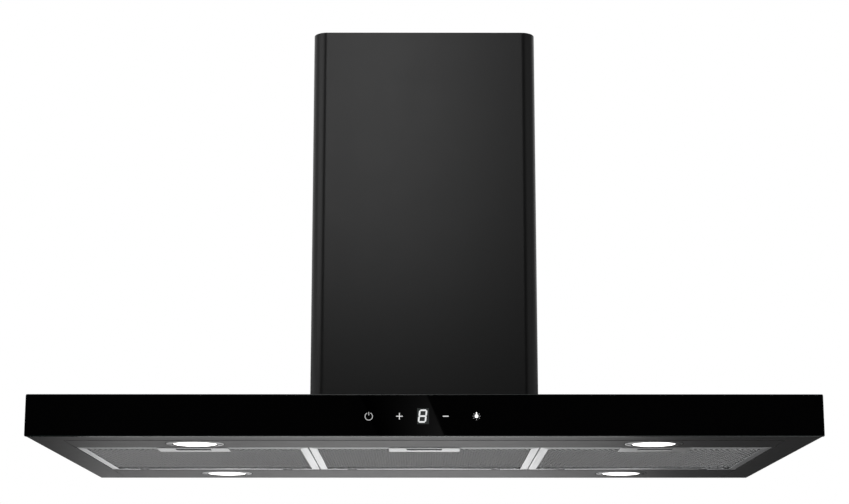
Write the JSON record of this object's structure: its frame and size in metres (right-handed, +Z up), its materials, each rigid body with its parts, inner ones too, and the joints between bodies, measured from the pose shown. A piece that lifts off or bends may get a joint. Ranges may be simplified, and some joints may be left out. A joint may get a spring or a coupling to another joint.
{
  "type": "chimney range hood",
  "caption": "Wall chimney range hood with a slim flat canopy, black glass touch fascia, mesh filters with latches, round lamps and a telescopic duct cover.",
  "frame": {"origin": "on the wall plane, on the centre line, at the level of the canopy's underside", "axes": "+X to the right as seen from the front, +Y towards the wall, +Z up"},
  "size_m": [0.9, 0.5, 0.561],
  "materials": {
    "black_paint": "satin",
    "black_glass": "polished, printed black behind",
    "foam_tape": "matte",
    "zinc": "zinc plated",
    "galvanised": "galvanised sheet",
    "green_board": "solder mask",
    "white_board": "white solder mask",
    "display_black": "gloss",
    "black_plastic": "moulded",
    "grey_plastic": "moulded",
    "satin_chrome": "satin",
    "lamp_diffuser": "frosted, lit",
    "alu": "die cast",
    "spring_steel": "bright",
    "motor_black": "painted",
    "rubber_black": "matte",
    "fan_plastic": "glass-filled",
    "flap_plastic": "moulded",
    "cap_grey": "smooth",
    "lead_pvc": "cable sheath",
    "alu_frame": "satin anodised",
    "alu_mesh": "expanded mesh",
    "latch_bright": "bright satin"
  },
  "bodies": {
    "hood": {"blower_box": "galvanised", "blower_screws": "zinc", "cable_gland": "black_plastic", "canopy_shell": "black_paint", "capacitor": "cap_grey", "chimney_lower": "black_paint", "chimney_screws": "zinc", "control_box": "black_plastic", "control_lid": "black_plastic", "display_module": "display_black", "fascia_glass": "black_glass", "fascia_tape": "foam_tape", "filter_hooks": "zinc", "flap_pin": "spring_steel", "front_lamp_panel": "black_paint", "lamp_bezel_front_left": "satin_chrome", "lamp_bezel_front_right": "satin_chrome", "lamp_bezel_rear_left": "satin_chrome", "lamp_bezel_rear_right": "satin_chrome", "lamp_boards": "white_board", "lamp_clips": "spring_steel", "lamp_housings": "alu", "lamp_lens_front_left": "lamp_diffuser", "lamp_lens_front_right": "lamp_diffuser", "lamp_lens_rear_left": "lamp_diffuser", "lamp_lens_rear_right": "lamp_diffuser", "main_board": "green_board", "motor": "motor_black", "motor_bracket": "zinc", "motor_bushes": "rubber_black", "outlet_collar": "black_plastic", "panel_rivets": "zinc", "rear_lamp_panel": "black_paint", "scroll_left": "black_plastic", "scroll_right": "black_plastic", "touch_board": "green_board", "touch_housing": "black_plastic", "wiring_harness": "lead_pvc"},
    "chimney_upper_section": {"chimney_upper": "black_paint", "chimney_bracket": "zinc", "bracket_screws": "zinc"},
    "fan": {"impeller": "fan_plastic", "motor_shaft": "spring_steel"},
    "front_flap": {"flap_front": "flap_plastic"},
    "rear_flap": {"flap_rear": "flap_plastic"},
    "filter_left": {"filter_frame_left": "alu_frame", "filter_mesh_left": "alu_mesh", "latch_housing_left": "latch_bright", "latch_spring_left": "spring_steel"},
    "latch_left": {"latch_slider_left": "grey_plastic"},
    "filter_centre": {"filter_frame_centre": "alu_frame", "filter_mesh_centre": "alu_mesh", "latch_housing_centre": "latch_bright", "latch_spring_centre": "spring_steel"},
    "latch_centre": {"latch_slider_centre": "grey_plastic"},
    "filter_right": {"filter_frame_right": "alu_frame", "filter_mesh_right": "alu_mesh", "latch_housing_right": "latch_bright", "latch_spring_right": "spring_steel"},
    "latch_right": {"latch_slider_right": "grey_plastic"}
  },
  "joints": [
    {"name": "chimney_slide", "type": "slide", "parent": "hood", "child": "chimney_upper_section", "axis": [0, 0, 1], "range_m": [0, 0.4]},
    {"name": "fan_spin", "type": "hinge", "parent": "hood", "child": "fan", "pos_m": [0, -0.132, 0.158], "axis": [1, 0, 0], "continuous": true},
    {"name": "front_flap_hinge", "type": "hinge", "parent": "hood", "child": "front_flap", "pos_m": [0, -0.085, 0.3235], "axis": [-1, 0, 0], "range_deg": [0, 80]},
    {"name": "rear_flap_hinge", "type": "hinge", "parent": "hood", "child": "rear_flap", "pos_m": [0, -0.085, 0.3235], "axis": [1, 0, 0], "range_deg": [0, 80]},
    {"name": "filter_left_swing", "type": "hinge", "parent": "hood", "child": "filter_left", "pos_m": [-0.2764, -0.1152, 0.004], "axis": [1, 0, 0], "range_deg": [0, 85]},
    {"name": "latch_left_slide", "type": "slide", "parent": "filter_left", "child": "latch_left", "axis": [0, 1, 0], "range_m": [0, 0.006], "stiffness_N_per_m": 300, "springref_m": -0.004, "deforming": ["latch_spring_left"]},
    {"name": "filter_centre_swing", "type": "hinge", "parent": "hood", "child": "filter_centre", "pos_m": [0, -0.1152, 0.004], "axis": [1, 0, 0], "range_deg": [0, 85]},
    {"name": "latch_centre_slide", "type": "slide", "parent": "filter_centre", "child": "latch_centre", "axis": [0, 1, 0], "range_m": [0, 0.006], "stiffness_N_per_m": 300, "springref_m": -0.004, "deforming": ["latch_spring_centre"]},
    {"name": "filter_right_swing", "type": "hinge", "parent": "hood", "child": "filter_right", "pos_m": [0.2764, -0.1152, 0.004], "axis": [1, 0, 0], "range_deg": [0, 85]},
    {"name": "latch_right_slide", "type": "slide", "parent": "filter_right", "child": "latch_right", "axis": [0, 1, 0], "range_m": [0, 0.006], "stiffness_N_per_m": 300, "springref_m": -0.004, "deforming": ["latch_spring_right"]}
  ]
}
